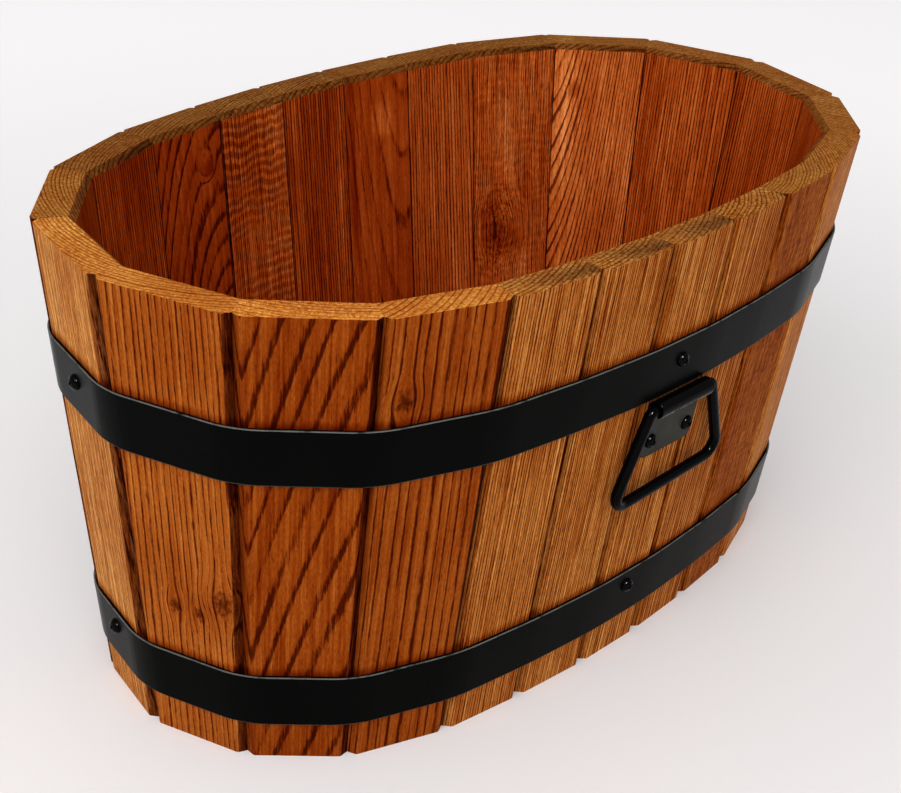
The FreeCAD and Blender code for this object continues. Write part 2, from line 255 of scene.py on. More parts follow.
class ViewSettings(bpy.types.PropertyGroup):
    """Camera, floor and light."""
    azimuth: bpy.props.FloatProperty(
        name="Azimuth", description="Direction of the camera round the tub", subtype="ANGLE",
        default=radians(-49.15))
    elevation: bpy.props.FloatProperty(
        name="Elevation", description="Height of the camera above the horizon", subtype="ANGLE",
        default=radians(27.19))
    roll: bpy.props.FloatProperty(
        name="Roll", description="Turn of the camera about its own view", subtype="ANGLE",
        default=radians(3.80))
    distance: bpy.props.FloatProperty(
        name="Distance", description="From the camera to the point it looks at", unit="LENGTH",
        default=1010.75 * MM)
    target: bpy.props.FloatVectorProperty(
        name="Target", description="Point in the middle of the picture", subtype="TRANSLATION",
        default=(-32.75 * MM, -18.75 * MM, 125 * MM))
    lens: bpy.props.FloatProperty(
        name="Lens", description="Focal length on a 36 mm wide sensor, in mm", default=76.39)
    floor_colour: bpy.props.FloatVectorProperty(
        name="Floor", description="Pale floor under the tub", subtype="COLOR", min=0, max=1,
        default=(0.90, 0.88, 0.885))
    floor_lift: bpy.props.FloatProperty(
        name="Floor lift", description="How much paler the floor looks than its own light makes it",
        default=0.19)
    backdrop: bpy.props.FloatProperty(
        name="Backdrop", description="How bright the space beyond the floor looks", default=0.80, min=0.0)
    sky: bpy.props.FloatProperty(
        name="Surrounding light", description="Strength of the even light from all round", default=0.60)
    key: bpy.props.FloatProperty(
        name="Side light", description="Power of the large soft light on the left, in watts", default=24.0)
    glint: bpy.props.FloatProperty(
        name="Glint", description="Power of the light that only shows as a glint on gloss paint, in watts",
        default=220.0)


# Nodes of the materials

class Wire:
    """A value that one node hands to others. Sums with it add the nodes that work them out."""

    def __init__(self, tree, socket):
        self.tree = tree
        self.socket = socket

    def __add__(self, other):
        return calc("ADD", self, other)

    def __sub__(self, other):
        return calc("SUBTRACT", self, other)

    def __rsub__(self, other):
        return calc("SUBTRACT", other, self)

    def __mul__(self, other):
        return calc("MULTIPLY", self, other)

    def __truediv__(self, other):
        return calc("DIVIDE", self, other)

    def __pow__(self, other):
        return calc("POWER", self, other)


def plug(value, socket):
    """Links a value to an input, or sets the input to a fixed one."""
    if isinstance(value, Wire):
        value.tree.links.new(value.socket, socket)
    else:
        socket.default_value = value


def add(tree, kind, links=None, **settings):
    """Adds a node, sets its options, and links or sets its inputs."""
    made = tree.nodes.new(kind)
    for name, value in settings.items():
        setattr(made, name, value)
    for socket, value in (links or {}).items():
        plug(value, made.inputs[socket])
    return made


def source(tree, kind, output, **settings):
    """Output of a node that needs no input."""
    return Wire(tree, add(tree, kind, **settings).outputs[output])


def wire(kind, links, output=0, **settings):
    """Adds a node to the tree that its inputs come from, and gives one of its outputs."""
    tree = next(value.tree for value in links.values() if isinstance(value, Wire))
    return Wire(tree, add(tree, kind, links, **settings).outputs[output])


def calc(operation, first, second=0.0):
    return wire("ShaderNodeMath", {0: first, 1: second}, operation=operation)


def vector_calc(operation, first, second):
    return wire("ShaderNodeVectorMath", {0: first, 1: second}, operation=operation)


def vector_length(vector):
    return wire("ShaderNodeVectorMath", {0: vector}, "Value", operation="LENGTH")


def scaled(vector, factor):
    return wire("ShaderNodeVectorMath", {0: vector, "Scale": factor}, operation="SCALE")


def step(value, start, end, low=0.0, high=1.0):
    """Low before start, high after end, and smooth between them."""
    links = {"Value": value, "From Min": start, "From Max": end, "To Min": low, "To Max": high}
    return wire("ShaderNodeMapRange", links, interpolation_type="SMOOTHSTEP")


def fall(value, start, end):
    """1 before start, 0 after end, and smooth between them."""
    return step(value, start, end, 1.0, 0.0)


def between(factor, first, second):
    """Mix of two numbers."""
    return wire("ShaderNodeMix", {0: factor, 2: first, 3: second}, data_type="FLOAT")


def blend(factor, first, second, mode="MIX"):
    """Mix of two colours."""
    links = {0: factor, 6: first, 7: second}
    return wire("ShaderNodeMix", links, 2, data_type="RGBA", blend_type=mode)


def noise(vector, stretch, seed, detail=2.0, roughness=0.5):
    """Noise from 0 to 1, with its own frequency along each axis."""
    place = vector_calc("MULTIPLY", vector, stretch)
    links = {"Vector": place, "W": seed, "Scale": 1.0, "Detail": detail, "Roughness": roughness}
    return wire("ShaderNodeTexNoise", links, noise_dimensions="4D")


def split(kind, value):
    """The three parts of a vector or a colour."""
    made = add(value.tree, kind, {0: value})
    return [Wire(value.tree, socket) for socket in made.outputs]


def parts(vector):
    return split("ShaderNodeSeparateXYZ", vector)


def joined(x, y, z):
    return wire("ShaderNodeCombineXYZ", {0: x, 1: y, 2: z})


def channels(tree, attribute):
    """Red, green and blue of a colour that is written on the mesh."""
    written = source(tree, "ShaderNodeAttribute", "Color", attribute_name=attribute)
    return split("ShaderNodeSeparateColor", written)


def new_group(name, inputs, outputs):
    """Shader node group with sockets of each kind. Gives the group and its inputs by name."""
    tree = bpy.data.node_groups.new(name, "ShaderNodeTree")
    for way, kinds in (("INPUT", inputs), ("OUTPUT", outputs)):
        for kind, labels in kinds.items():
            for label in labels:
                tree.interface.new_socket(label, in_out=way, socket_type="NodeSocket" + kind)
    given = tree.nodes.new("NodeGroupInput").outputs
    return tree, {socket.name: Wire(tree, socket) for socket in given}


# What the groups of the oak and the paint give to a shader
LOOK = {"Color": ("Colour",), "Float": ("Roughness", "Height")}


def hand_out(tree, values):
    """Links what a group has worked out to its outputs, and gives the group."""
    result = tree.nodes.new("NodeGroupOutput").inputs
    for label, value in values.items():
        plug(value, result[label])
    return tree


def knot_group():
    """A dark knot that pushes the grain aside."""
    tree, given = new_group("oak_knot", {"Vector": ("Board", "Place"), "Float": ("Size", "Seed")},
                            {"Vector": ("Board",), "Float": ("Mask",)})
    away = vector_calc("SUBTRACT", given["Board"], given["Place"])
    flat = vector_calc("MULTIPLY", away, (1.0, 0.75, 0.25))
    ragged = noise(given["Board"], (620, 330, 620), given["Seed"], 3.0, 0.6)
    reach = vector_length(flat) / given["Size"]
    moved = scaled(away, fall(reach, 0.0, 2.8) * -0.6)
    return hand_out(tree, {"Board": vector_calc("ADD", given["Board"], moved),
                           "Mask": fall(ragged * 2.8 + (reach - 1.4), 0.1, 1.2)})


def blotch_group():
    """A soft, ragged patch that is lighter or darker than the board round it."""
    tree, given = new_group("oak_blotch", {"Vector": ("Board", "Place", "Reach"), "Float": ("Gain", "Seed")},
                            {"Float": ("Gain",)})
    away = vector_calc("SUBTRACT", given["Board"], given["Place"])
    flat = vector_calc("DIVIDE", away, given["Reach"])
    ragged = noise(given["Board"], (220, 40, 220), given["Seed"], 4.0, 0.6)
    reach = ragged * 1.4 + (vector_length(flat) - 0.7)
    return hand_out(tree, {"Gain": fall(reach, 0.2, 1.0) * given["Gain"] + 1.0})


def oak_group():
    """Grain of one board, cut through by its faces: rings, pores, fibres and flecks."""
    tree, given = new_group(
        "oak_grain", {"Vector": ("Board", "Pith", "Drift"), "Float": ("Ring", "Wander", "Band", "Seed")},
        {"Float": ("Lines", "Late", "Pores", "Fibre", "Speck", "Tone", "Fleck")})
    board, seed, wander, band = (given[name] for name in ("Board", "Seed", "Wander", "Band"))
    along = parts(board)[1]

    # Distance from the heart of the tree, in rings
    pith = vector_calc("ADD", given["Pith"], scaled(given["Drift"], along))
    out = parts(vector_calc("SUBTRACT", board, pith))
    rings = calc("SQRT", out[2] * out[2] + out[0] * out[0]) / given["Ring"]
    slow = noise(board, (30, 9, 30), seed)
    quick = noise(board, (220, 26, 220), seed)
    uneven = noise(joined(rings, 0.0, 0.0), (0.55, 1, 1), seed, 1.0)
    sway = (slow - 0.5) * (wander * 5.0)
    shake = (quick - 0.5) * (wander * 0.9)
    phase = rings + sway + (uneven * 1.3 + shake)

    # Dark early wood starts sharply and fades out, and each ring has its own strength
    place = calc("FRACT", phase)
    early = fall(place, band * 0.2, band)
    onset = step(place, 0.86, 1.0)
    number = calc("FLOOR", phase + 0.14)
    force = noise(joined(number, along, 0.0), (0.73, 14, 1), seed)
    force = step(force, 0.25, 0.62) * 0.7 + 0.3
    lines = calc("MAXIMUM", early, onset) * force

    # Open pores are short dashes along the grain, fibres are long ones
    pores = noise(board, (1100, 110, 1100), seed, 2.0, 0.65)
    fibre = noise(board, (640, 15, 640), seed + 5.0, 3.0, 0.6)
    speck = noise(board, (1500, 420, 1500), seed + 7.0, 1.0)
    tone = noise(board, (36, 13, 36), seed + 3.0, 3.0, 0.55)

    # Ray flecks cross the grain in soft waves, one above another
    bent = noise(board, (52, 22, 52), seed, 3.0, 0.55)
    rows = bent * 3.4 + along * 190.0
    wave = step(calc("SINE", rows * (2 * pi)), -0.5, 0.9)
    patch = step(noise(board, (30, 40, 30), seed + 9.0, 3.0, 0.6), 0.30, 0.66)
    return hand_out(tree, {"Lines": lines, "Late": place, "Pores": pores, "Fibre": fibre, "Speck": speck,
                           "Tone": tone, "Fleck": (wave - 0.45) * patch})


def stain_group():
    """Stain and oil on a board's outside, inside, rim and grooves."""
    tree, given = new_group(
        "oak_stain",
        {"Float": ("Lines", "Late", "Pores", "Fibre", "Speck", "Tone", "Fleck", "Knot", "Blotch", "Level",
                   "Depth", "Density", "Streak", "Tint", "Red", "End Tint", "Figure", "Groove", "Rim",
                   "Inside", "Upper Hoop", "Lower Hoop"),
         "Color": ("Outside Colour", "Inside Colour", "Rim Colour")},
        LOOK)
    inside, rim = given["Inside"], given["Rim"]

    def varied(value, gain):
        """1 on average, more or less where a noise is high or low."""
        return (value - 0.5) * gain + 1.0

    # Open grain drinks more stain, in ragged lines along the early wood
    figure = given["Fleck"] * given["Figure"] * (1.0 - rim)
    early = given["Lines"] * given["Depth"]
    crowd = figure * -0.08 + (early * 0.32 + given["Density"])
    open_pore = step(given["Pores"] + crowd, 0.53, 0.78)
    dark = between(rim, open_pore * 0.72, given["Lines"] * 0.46)

    # How much light the wood gives back at each point
    value = between(rim, given["Tint"], 1.0)
    value = value * varied(given["Tone"], inside * 0.5 + 0.6)
    value = value * varied(given["Fibre"], given["Streak"])
    value = value * varied(given["Speck"], 0.7)
    value = value * (given["Late"] * 0.16 + 0.90)
    value = value * (figure * 0.55 + 1.0)
    value = value * (early * -0.18 + 1.0)
    value = value * given["Blotch"]

    # Pores and knots are brown-black, and the grooves darken with dirty stain and painted shade
    groove_stain_and_shade = calc("MINIMUM", given["Groove"] * (given["Pores"] * 0.9 + 0.5), 1.0)
    shade = (1.0 - dark) * (given["Knot"] * -0.72 + 1.0) * (groove_stain_and_shade * -0.90 + 1.0)

    # The wood is darker in a narrow line just above each hoop
    for hoop in ("Upper Hoop", "Lower Hoop"):
        above = given["Level"] - given[hoop]
        line = fall(above, 0.0, 0.006) * step(above, -0.02, -0.004) * (1.0 - inside)
        value = value * (line * -0.45 + 1.0)

    # The darker the stain lies, the redder it looks
    value = calc("MAXIMUM", value, 0.01)
    depth = joined(value, value ** 1.9, value ** 3.0)
    wood = blend(inside, given["Outside Colour"], given["Inside Colour"])
    wood = blend(given["Red"], wood, blend(1.0, wood, (0.92, 0.60, 0.50, 1), "MULTIPLY"))
    ends = joined(*[given["End Tint"]] * 3)
    ends = blend(1.0, given["Rim Colour"], ends, "MULTIPLY")
    wood = blend(1.0, blend(rim, wood, ends), depth, "MULTIPLY")
    shade = calc("MAXIMUM", shade, 0.01)
    brown = shade ** 1.3
    wood = blend(1.0, wood, joined(shade, brown, brown), "MULTIPLY")
    rough = rim * 0.12 + (inside * -0.10 + (dark * 0.25 + 0.42))
    return hand_out(tree, {"Colour": wood, "Roughness": rough, "Height": given["Fibre"] * 0.5 - dark})


def paint_group():
    """Uneven sheen, fine pimples, a dusting of grey and painted highlights of pale grey along marked edges on
    black paint.
    """
    tree, given = new_group(
        "black_paint",
        {"Vector": ("Place",), "Color": ("Colour",), "Float": ("Dust", "Sheen", "Painted Highlight", "Dusty")},
        LOOK)
    place = given["Place"]
    cloud = noise(place, (28, 28, 28), 1.0, 3.0)
    pimple = noise(place, (900, 900, 900), 2.0, 1.0)
    speck = step(noise(place, (420, 420, 420), 3.0), 0.66, 0.78)
    dust = (given["Dusty"] * 0.46 + given["Dust"]) * (speck * 0.5 + cloud)
    painted = blend(dust, given["Colour"], (0.16, 0.16, 0.13, 1))
    # Painted highlight: pale grey, broken by noise, laid where the mesh marks a highlight
    broken = step(noise(place, (130, 130, 130), 4.0, 3.0, 0.6), 0.28, 0.52)
    highlight_mask = given["Painted Highlight"] * broken
    rough = highlight_mask * 0.3 + (given["Dusty"] * 0.25 + (cloud * 0.16 + given["Sheen"]))
    return hand_out(tree, {"Colour": blend(highlight_mask, painted, (0.34, 0.34, 0.31, 1)), "Roughness": rough,
                           "Height": pimple})


GROUP_MAKERS = {"oak_knot": knot_group, "oak_blotch": blotch_group, "oak_grain": oak_group,
                "oak_stain": stain_group, "black_paint": paint_group}


def use_group(tree, name, links):
    group = bpy.data.node_groups.get(name) or GROUP_MAKERS[name]()
    made = add(tree, "ShaderNodeGroup", links, node_tree=group)
    return {socket.name: Wire(tree, socket) for socket in made.outputs}


def new_material(name):
    material = bpy.data.materials.new(name)
    material.use_nodes = True
    tree = material.node_tree
    tree.nodes.clear()
    shader = tree.nodes.new("ShaderNodeBsdfPrincipled")
    output = tree.nodes.new("ShaderNodeOutputMaterial")
    tree.links.new(shader.outputs[0], output.inputs["Surface"])
    return material, tree, shader


def dress(shader, look, gloss, relief):
    """Gives a shader the colour, roughness and height that a group has worked out."""
    plug(look["Colour"], shader.inputs["Base Color"])
    plug(look["Roughness"], shader.inputs["Roughness"])
    plug(gloss, shader.inputs["Specular IOR Level"])
    bump = {"Height": look["Height"], "Distance": relief, "Strength": 1.0}
    plug(wire("ShaderNodeBump", bump), shader.inputs["Normal"])


def opaque(colour):
    return (*colour, 1.0)


def heart(distance, angle):
    """Heart of the tree from the middle of a board's face, at a distance in mm and an angle in degrees."""
    return Vector((-sin(radians(angle)), 0, -cos(radians(angle)))) * distance * MM


def oak_material(name, board, place, seed, oak):
    """Stained oak for one board, whose own frame is given by place."""
    material, tree, shader = new_material(name)
    spot = source(tree, "ShaderNodeTexCoord", "Object")
    inverse = place.inverted()
    mapping = {"Vector": spot, "Location": inverse.translation, "Rotation": inverse.to_euler()}
    grain_place = wire("ShaderNodeMapping", mapping)
    blotch = 1.0
    for across, along, half_width, half_height, gain in BLOTCHES.get(name, ()):
        made = use_group(tree, "oak_blotch", {
            "Board": grain_place, "Place": (across * MM, along * MM, 0),
            "Reach": (half_width * MM, half_height * MM, 1), "Gain": gain, "Seed": seed})
        blotch = made["Gain"] * blotch
    knot = 0.0
    for across, along, size in KNOTS.get(name, ()):
        links = {"Board": grain_place, "Place": (across * MM, along * MM, 0), "Size": size * MM, "Seed": seed}
        made = use_group(tree, "oak_knot", links)
        grain_place = made["Board"]
        knot = calc("MAXIMUM", knot, made["Mask"])
    groove, rim, inside = channels(tree, "zones")
    pith = heart(board.pith, board.angle)
    rim_pith = heart(RIM_PITH, board.rim_angle) - Vector((0, 0, board.drift * CAD_BOX[1][2]))
    links = use_group(tree, "oak_grain", {
        "Board": grain_place, "Drift": (0, 0, board.drift), "Wander": board.wander, "Band": board.band,
        "Pith": wire("ShaderNodeMix", {0: rim, 4: pith, 5: rim_pith}, 1, data_type="VECTOR"),
        "Ring": between(rim, board.ring * MM, board.rim_ring * MM), "Seed": seed})
    links.update({
        "Knot": knot, "Blotch": blotch, "Level": parts(spot)[2], "Depth": board.depth,
        "Density": board.pores, "Streak": board.streak, "Tint": board.tint, "Red": board.red,
        "End Tint": board.rim, "Figure": board.fleck, "Groove": groove, "Rim": rim, "Inside": inside,
        "Outside Colour": opaque(oak.face_colour), "Inside Colour": opaque(oak.inside_colour),
        "Rim Colour": opaque(oak.rim_colour), "Upper Hoop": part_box("upper_hoop")[1][2],
        "Lower Hoop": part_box("lower_hoop")[1][2]})
    dress(shader, use_group(tree, "oak_stain", links), OAK_GLOSS, OAK_RELIEF)
    return material


def paint_material(name, colour, dust, sheen, gloss):
    """Black paint on steel."""
    material, tree, shader = new_material(name)
    painted_highlight, dusty, _ = channels(tree, "highlight_and_dust")
    look = use_group(tree, "black_paint", {
        "Place": source(tree, "ShaderNodeTexCoord", "Object"), "Colour": opaque(colour), "Dust": dust,
        "Sheen": sheen, "Painted Highlight": painted_highlight, "Dusty": dusty})
    dress(shader, look, gloss, PAINT_RELIEF)
    return material


# Meshes

# Corners nearer than this are one corner, and faces that fold by less than this are one face
SAME_CORNER = 0.002 * MM
SAME_FACE = radians(0.6)

# Least product of two directions that are parallel, much the same and roughly the same
PARALLEL = 0.9999
ALONG = 0.9
ROUGHLY = 0.6


def eased_copy(node):
    """Merged copy of a CAD node with flat faces in one piece."""
    bm = bmesh.new()
    bm.from_mesh(frame["nodes"][node].data)
    bmesh.ops.remove_doubles(bm, verts=bm.verts, dist=SAME_CORNER)
    bmesh.ops.dissolve_limit(bm, angle_limit=SAME_FACE, verts=bm.verts, edges=bm.edges)
    return bm


def frame_at(place, x, y, z):
    """Frame with its axes along three directions."""
    return Matrix.Translation(place) @ Matrix((x, y, z)).transposed().to_4x4()


def picked(geometry, kind):
    return [part for part in geometry if isinstance(part, kind)]


def round_edges(bm, edges, width, segments, clamp=True):
    bmesh.ops.bevel(bm, geom=edges, offset=width, offset_type="OFFSET", affect="EDGES", segments=segments,
                    profile=0.5, material=-1, clamp_overlap=clamp)


def sharp_edges(bm, least):
    """Edges where two faces meet at more than an angle."""
    return [edge for edge in bm.edges if edge.is_manifold and edge.calc_face_angle() > least]


def new_piece(bm, name, body, material, nodes, smooth=radians(50)):
    """Object for a finished mesh, riding on its body in place of its CAD nodes."""
    mesh = bpy.data.meshes.new(name)
    bm.to_mesh(mesh)
    bm.free()
    mesh.shade_smooth()
    mesh.set_sharp_from_angle(angle=smooth)
    mesh.materials.append(material)
    piece = bpy.data.objects.new(name, mesh)
    bpy.context.scene.collection.objects.link(piece)
    even = piece.modifiers.new("Even shading", "WEIGHTED_NORMAL")
    even.keep_sharp = True
    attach(piece, body)
    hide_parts(*nodes)
    return piece


def stave_place(node):
    """A stave's own frame: x across, y up the slope, z out of the face, from the foot of its outer face."""
    mesh = frame["nodes"][node].data
    middle = Vector(numpy.mean([corner.co for corner in mesh.vertices], axis=0))
    middle.z = 0
    outward = middle.normalized()
    facing = [face for face in mesh.polygons if face.normal.dot(outward) > ROUGHLY]
    normal = max(facing, key=lambda face: face.area).normal.copy()
    flat = [face for face in facing if face.normal.dot(normal) > PARALLEL]
    corners = {tuple(mesh.vertices[number].co) for face in flat for number in face.vertices}
    lowest = min(corner[2] for corner in corners)
    foot = Vector(numpy.mean([corner for corner in corners if corner[2] < lowest + MM], axis=0))
    across = UP.cross(normal).normalized()
    return frame_at(foot, across, normal.cross(across), normal)


# A bevel of the rim looks up by more than this, and a chamfer on a long edge looks out by more than this
BEVEL_RISE = 0.35
CHAMFER_RISE = 0.2


def face_kind(face, turn):
    """Which side of a stave a face belongs to."""
    facing = turn @ face.normal
    if abs(face.normal.z) > ALONG:
        return "end"
    if abs(facing.z) > ALONG:
        return "outside" if facing.z > 0 else "inside"
    if abs(facing.x) > ALONG:
        return "joint"
    if face.normal.z > BEVEL_RISE:
        return "mouth" if facing.z < 0 else "brow"
    return "groove" if facing.z > CHAMFER_RISE else "corner"


# How much stain gathers on each side of a stave
POOLED = {"end": 0.0, "outside": 0.0, "inside": 0.0, "joint": 1.0, "mouth": 0.45, "brow": 0.25, "corner": 1.0}


def mark_zones(bm, place):
    """Writes on every corner how far it lies in a groove, on the rim or on the inside of the wall."""
    layer = bm.loops.layers.float_color.new("zones")
    inverse = place.inverted()
    turn = inverse.to_3x3()
    for face in bm.faces:
        kind = face_kind(face, turn)
        rim = float(kind in ("end", "mouth"))
        inside = float(kind in ("inside", "corner"))
        left = (turn @ face.normal).x < 0
        for loop in face.loops:
            depth = -(inverse @ loop.vert.co).z / GROOVE_DEPTH
            # Painted shade: a groove is darker on a stave's right edge, away from the light, and darker the
            # deeper it lies
            groove = LEFT_GROOVE_SHARE * depth if left else RIGHT_GROOVE_STAIN_AND_SHADE + depth
            groove = min(1.0, max(0.0, groove)) if kind == "groove" else POOLED[kind]
            loop[layer] = (groove, rim, inside, 1.0)


# Edges of a stave that are rounded, by the two sides that meet there
EASED = ({"outside", "groove"},)
SANDED = ({"end", "outside"}, {"end", "groove"}, {"end", "mouth"}, {"mouth", "inside"}, {"end", "inside"})

# Those edges fold by more than this angle, and are longer than this
STAVE_FOLD = radians(12)
STAVE_EDGE = 2.5 * MM

# Least area of a stave's foot or rim, more than any face in a screw hole
END_AREA = 100 * MM * MM

# The one joint that gapes on the inside, by the stave before it
GAPING_JOINT = 17


def close_joints(bm, turn, shift):
    """Widens a stave towards its neighbours, so that no light shows through the joints."""
    for way in (-1, 1):
        faces = [face for face in bm.faces
                 if face_kind(face, turn) == "joint" and (turn @ face.normal).x * way > 0]
        joint = max(faces, key=lambda face: face.calc_area())
        bmesh.ops.translate(bm, verts=joint.verts[:], vec=joint.normal * shift)


def narrow_chamfers(bm, turn, shift):
    """Moves the chamfers of a stave's long outer edges out towards the corner, with the holes in them."""
    moves = {}
    for face in bm.faces:
        if face_kind(face, turn) != "groove":
            continue
        corners = {}
        for vert in face.verts:
            for edge in vert.link_edges:
                other = edge.other_vert(vert)
                ends = any(face_kind(side, turn) == "end" and side.calc_area() > END_AREA
                           for side in edge.link_faces)
                if ends and other not in face.verts[:]:
                    corners[vert] = (vert.co - other.co).normalized() * shift
        flat = {vert for vert in face.verts
                if any(face_kind(side, turn) == "outside" for side in vert.link_faces)}
        across = next((move for vert, move in corners.items() if vert in flat), None)
        if across:
            rise = face.normal * across.dot(face.normal)
            moves.update({vert: corners.get(vert, across if vert in flat else rise) for vert in face.verts})
    for vert, move in moves.items():
        bmesh.ops.translate(bm, verts=[vert], vec=move)


def long_folds(bm):
    return [edge for edge in sharp_edges(bm, STAVE_FOLD) if edge.calc_length() > STAVE_EDGE]


def open_inner_joint(bm, turn, way, width):
    """Takes off the inner corner on one side of a stave, so that a dark line shows at the joint."""
    edges = []
    for edge in long_folds(bm):
        kinds = {face_kind(face, turn): (turn @ face.normal).x for face in edge.link_faces}
        if set(kinds) == {"inside", "joint"} and kinds["joint"] * way > 0:
            edges.append(edge)
    round_edges(bm, edges, width, 1, clamp=False)


def round_stave(bm, turn, oak):
    """Eases the long outer edges of a stave and sands its ends, its mouth and its inner edges."""
    for pairs, width, segments in ((EASED, oak.edge_round, 3), (SANDED, oak.end_round, 2)):
        edges = [edge for edge in long_folds(bm)
                 if {face_kind(face, turn) for face in edge.link_faces} in pairs]
        round_edges(bm, edges, width, segments)


class PLANTER_OT_staves(bpy.types.Operator):
    """Rounds the edges of the staves and gives each its own oak"""
    bl_idname = "planter.staves"
    bl_label = "Staves"

    def execute(self, context):
        oak = context.scene.planter_oak
        for number, node in enumerate(STAVES):
            place = stave_place(node)
            turn = place.inverted().to_3x3()
            bm = eased_copy(node)
            close_joints(bm, turn, oak.joint_shift)
            if place.translation.y > BACK_STAVES_FROM:
                narrow_chamfers(bm, turn, oak.back_shift)
            for way, before in ((-1, number - 1), (1, number)):
                width = oak.gaping_joint if before == GAPING_JOINT else oak.inner_joint
                open_inner_joint(bm, turn, way, width)
            round_stave(bm, turn, oak)
            mark_zones(bm, place)
            seed = STAVE_SEED + STAVE_SEED_STEP * number
            material = oak_material(node, BOARDS[number], place, seed, oak)
            new_piece(bm, "oak_" + node, "tub", material, [node])
        return {"FINISHED"}


# Edges of a floor board that are rounded fold by more than this angle, and are longer than this
FLOOR_FOLD = radians(40)
FLOOR_EDGE = 4 * MM


class PLANTER_OT_floor_boards(bpy.types.Operator):
    """Eases the edges of the floor boards and stains them"""
    bl_idname = "planter.floor_boards"
    bl_label = "Floor boards"

    def execute(self, context):
        oak = context.scene.planter_oak
        for number, node in enumerate(FLOOR_BOARDS):
            low, high = (Vector(corner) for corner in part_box(node))
            place = frame_at((low.x, (low.y + high.y) / 2, high.z), (0, -1, 0), (1, 0, 0), UP)
            bm = eased_copy(node)
            edges = [edge for edge in sharp_edges(bm, FLOOR_FOLD) if edge.calc_length() > FLOOR_EDGE]
            round_edges(bm, edges, oak.end_round, 2)
            layer = bm.loops.layers.float_color.new("zones")
            for face in bm.faces:
                for loop in face.loops:
                    loop[layer] = (0.0, 0.0, 1.0, 1.0)
            seed = FLOOR_SEED + FLOOR_SEED_STEP * number
            material = oak_material(node, FLOOR_OAK[number], place, seed, oak)
            new_piece(bm, "oak_" + node, "tub", material, [node])
        return {"FINISHED"}


# Bends of the hoops as they come: their run to either side of a corner, and how deep the outer face
# lies there
CAD_BEND_RUN = 6.5 * MM
BEND_DEPTH = 1.5 * MM

# Cuts through a hoop's outer face on each side of a bend, how far inside such a face may lie, and how
# near a corner lies on a cut
BEND_COLUMNS = 5
OUTER_WITHIN = 0.1 * MM
CUT_WITHIN = 0.01 * MM


def meeting_point(first, first_level, second, second_level):
    """A point on the line where two planes meet, each given by its normal and its level."""
    turn = first.dot(second)
    share = 1 - turn * turn
    first_part = (first_level - turn * second_level) / share
    second_part = (second_level - turn * first_level) / share
    return first * first_part + second * second_part


def soften_bends(bm, run):
    """Spreads each bend of a hoop's outer face over a longer run."""
    places = [stave_place(node) for node in STAVES]
    normals = [place.to_3x3().col[2].copy() for place in places]
    walls = [place.translation.dot(normal) for place, normal in zip(places, normals)]
    reach = [max(vert.co.dot(normal) for vert in bm.verts) for normal in normals]
    stand = numpy.median([far - wall for far, wall in zip(reach, walls)])
    for first in range(STAVE_COUNT):
        second = (first + 1) % STAVE_COUNT
        sides = [(normals[index], walls[index] + stand) for index in (first, second)]
        along = (normals[second] - normals[first]).normalized()
        outward = normals[first] + normals[second]
        outward = Vector((outward.x, outward.y, 0)).normalized()
        corner = meeting_point(*sides[0], *sides[1])
        for (normal, level), way in zip(sides, (-1, 1)):
            for column in range(1, BEND_COLUMNS + 1):
                place = corner + along * way * run * column / BEND_COLUMNS
                faces = [face for face in bm.faces if face.normal.dot(normal) > PARALLEL
                         and face.calc_center_median().dot(normal) - level > -OUTER_WITHIN]
                edges = {edge for face in faces for edge in face.edges}
                verts = {vert for face in faces for vert in face.verts}
                bmesh.ops.bisect_plane(bm, geom=[*faces, *edges, *verts], dist=CUT_WITHIN, plane_co=place,
                                       plane_no=along)
        slope = tan(normals[first].angle(normals[second]) / 2) / 2
        for vert in bm.verts:
            near = abs((vert.co - corner).dot(along))
            depth = min(level - vert.co.dot(normal) for normal, level in sides)
            if near < run and depth < BEND_DEPTH:
                old = max(0.0, CAD_BEND_RUN - near) ** 2 / CAD_BEND_RUN
                new = (run - near) ** 2 / run
                bmesh.ops.translate(bm, verts=[vert], vec=outward * slope * (old - new))


def mark_highlight_and_dust(bm, worn, *facts):
    """Writes on every face how much painted highlight it takes and how dusty it is."""
    layer = bm.loops.layers.float_color.new("highlight_and_dust")
    for face in bm.faces:
        painted_highlight, dusty = worn(face, *facts)
        for loop in face.loops:
            loop[layer] = (painted_highlight, dusty, 0.0, 1.0)


# Edges of a hoop that are rounded fold by more than this angle, beside a face that looks out by this share
HOOP_FOLD = radians(60)
HOOP_OUT = 0.5

# The rounded edges look up or down by more than the first share and less than the second
ROUNDED_FROM, ROUNDED_TO = 0.3, 0.97
# Strength of the painted highlight on the upper and on the lower rounded edge
UPPER_EDGE_HIGHLIGHT, LOWER_EDGE_HIGHLIGHT = 0.38, 0.12


def looks_out(face):
    """How far a face of a hoop looks away from the tub, from -1 to 1."""
    outward = face.calc_center_median()
    outward.z = 0
    return face.normal.dot(outward.normalized())


def hoop_edge_highlight(face):
    """A hoop's outer edges take a painted highlight, the upper one most, as if lit from above."""
    if not ROUNDED_FROM < abs(face.normal.z) < ROUNDED_TO or looks_out(face) < 0:
        return 0.0, 0.0
    return (UPPER_EDGE_HIGHLIGHT if face.normal.z > 0 else LOWER_EDGE_HIGHLIGHT), 0.0


